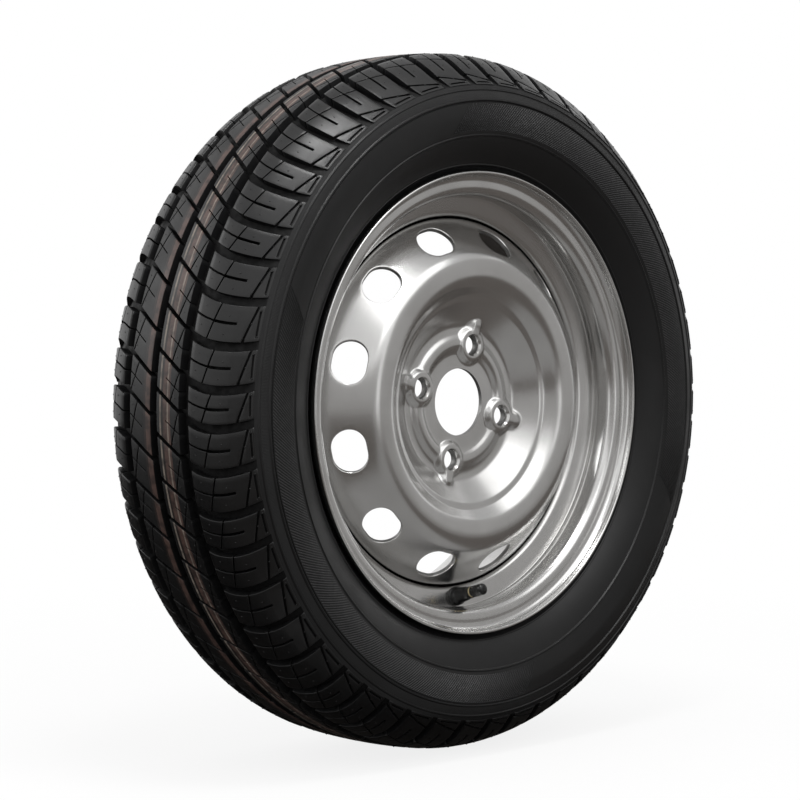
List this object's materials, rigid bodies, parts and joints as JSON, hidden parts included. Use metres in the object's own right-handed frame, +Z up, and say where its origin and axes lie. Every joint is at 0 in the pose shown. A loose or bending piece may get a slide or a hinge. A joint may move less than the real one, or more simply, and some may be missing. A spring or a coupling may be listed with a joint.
{
  "type": "car wheel with tyre",
  "caption": "Pressed steel car wheel with round vents, fitted with a patterned radial road tyre and a snap-in rubber inflation valve with a screw cap.",
  "frame": {"origin": "centre of the wheel: on the axle line, in the middle plane of the rim and the tyre", "axes": "the wheel turns about Y; its outer face, with the valve, looks to -Y and the hub face looks to +Y; +Z is up with the valve at the bottom"},
  "size_m": [0.592, 0.1796, 0.592],
  "materials": {
    "tyre_rubber": "matt black moulded rubber",
    "silver_paint": "satin silver metallic paint",
    "weld_metal": "painted weld bead",
    "valve_rubber": "satin black rubber",
    "brass": "turned brass",
    "cap_plastic": "black moulded plastic",
    "seal_rubber": "soft seal rubber",
    "spring_steel": "drawn spring wire"
  },
  "bodies": {
    "wheel": {"tyre": "tyre_rubber", "rim": "silver_paint", "wheel_disc": "silver_paint", "weld_seams": "weld_metal", "valve_rubber": "valve_rubber", "valve_stem": "brass", "core_plug": "brass", "core_barrel": "brass", "core_seal": "seal_rubber", "core_spring": "spring_steel"},
    "cap_lifter": {"cap_seal": "seal_rubber"},
    "cap": {"valve_cap": "cap_plastic"},
    "pin": {"core_pin": "brass", "core_cup": "seal_rubber"}
  },
  "joints": [
    {"name": "cap_lift", "type": "slide", "parent": "wheel", "child": "cap_lifter", "axis": [0, -0.9632, 0.2689], "range_m": [0, 0.00357]},
    {"name": "cap_turn", "type": "hinge", "parent": "cap_lifter", "child": "cap", "pos_m": [0, -0.06866, -0.15813], "axis": [0, -0.9632, 0.2689], "range_deg": [0, 1620]},
    {"name": "pin_press", "type": "slide", "parent": "wheel", "child": "pin", "axis": [0, 0.9632, -0.2689], "range_m": [0, 0.0015], "stiffness_N_per_m": 1500, "springref_m": -0.003, "deforming": ["core_spring"]}
  ],
  "couplings": [
    {"joint": "cap_turn", "follows": "cap_lift", "rad_per_m": 7913.3}
  ]
}
